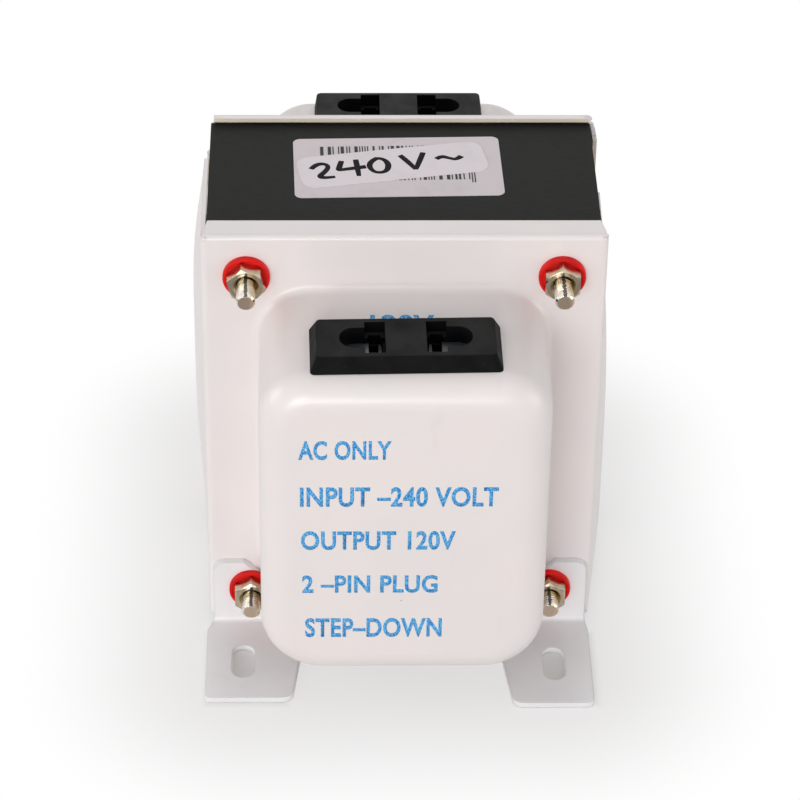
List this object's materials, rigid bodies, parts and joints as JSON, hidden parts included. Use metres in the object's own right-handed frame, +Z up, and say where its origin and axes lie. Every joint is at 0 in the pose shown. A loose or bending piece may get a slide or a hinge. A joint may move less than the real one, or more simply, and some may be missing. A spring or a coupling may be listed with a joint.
{
  "type": "voltage transformer",
  "caption": "Small step-down transformer with pressed steel covers over an upright laminated core, a two-pin socket on each cover's shelf and slotted bent feet.",
  "frame": {"origin": "on the floor under the middle of the core, midway between the feet", "axes": "+X to the right seen from the front, +Y from the front cover to the back cover, +Z up"},
  "size_m": [0.0901, 0.1072, 0.1003],
  "materials": {
    "cover_paint": "smooth off-white stove enamel",
    "foot_paint": "off-white stove enamel, slightly duller",
    "core_steel": "stacked laminations, fine lines across the stack",
    "black_card": "smooth pressed card",
    "socket_plastic": "moulded, slightly glossy edges",
    "contact_metal": "bright strip",
    "clip_steel": "spring steel",
    "nickel": "nickel plate, warm",
    "red_fibre": "vulcanised fibre, vivid red",
    "sleeve_plastic": "thin extruded tube",
    "bobbin_nylon": "moulded nylon",
    "copper_wire": "enamelled copper wire in layers",
    "insulation_paper": "kraft paper",
    "coil_tape": "polyester tape, glossy",
    "lead_black": "wire insulation",
    "lead_blue": "wire insulation",
    "cap_plastic": "closed crimp caps",
    "cutout_case": "drawn can with leads",
    "grommet_rubber": "moulded rubber",
    "label_white": "coated label",
    "label_small": "coated label, slightly cooler"
  },
  "bodies": {
    "root": {"bobbin": "bobbin_nylon", "bolt_sleeves": "sleeve_plastic", "cord_grommet": "grommet_rubber", "core_wrap": "black_card", "crimp_caps": "cap_plastic", "e_laminations": "core_steel", "foot_front_left": "foot_paint", "foot_front_right": "foot_paint", "foot_rear_left": "foot_paint", "foot_rear_right": "foot_paint", "front_cover": "cover_paint", "front_socket_body": "socket_plastic", "front_socket_clips": "clip_steel", "front_socket_contact_left": "contact_metal", "front_socket_contact_right": "contact_metal", "front_socket_leads": "lead_black", "front_washers": "red_fibre", "hex_nuts": "nickel", "i_laminations": "core_steel", "interlayer_insulation": "insulation_paper", "large_label": "label_white", "outer_tape": "coil_tape", "primary_winding": "copper_wire", "rear_cover": "cover_paint", "rear_socket_body": "socket_plastic", "rear_socket_clips": "clip_steel", "rear_socket_contact_left": "contact_metal", "rear_socket_contact_right": "contact_metal", "rear_socket_leads": "lead_black", "rear_washers": "red_fibre", "secondary_winding": "copper_wire", "small_label": "label_small", "supply_leads": "lead_blue", "thermal_cutout": "cutout_case", "through_bolts": "nickel"}
  },
  "joints": []
}
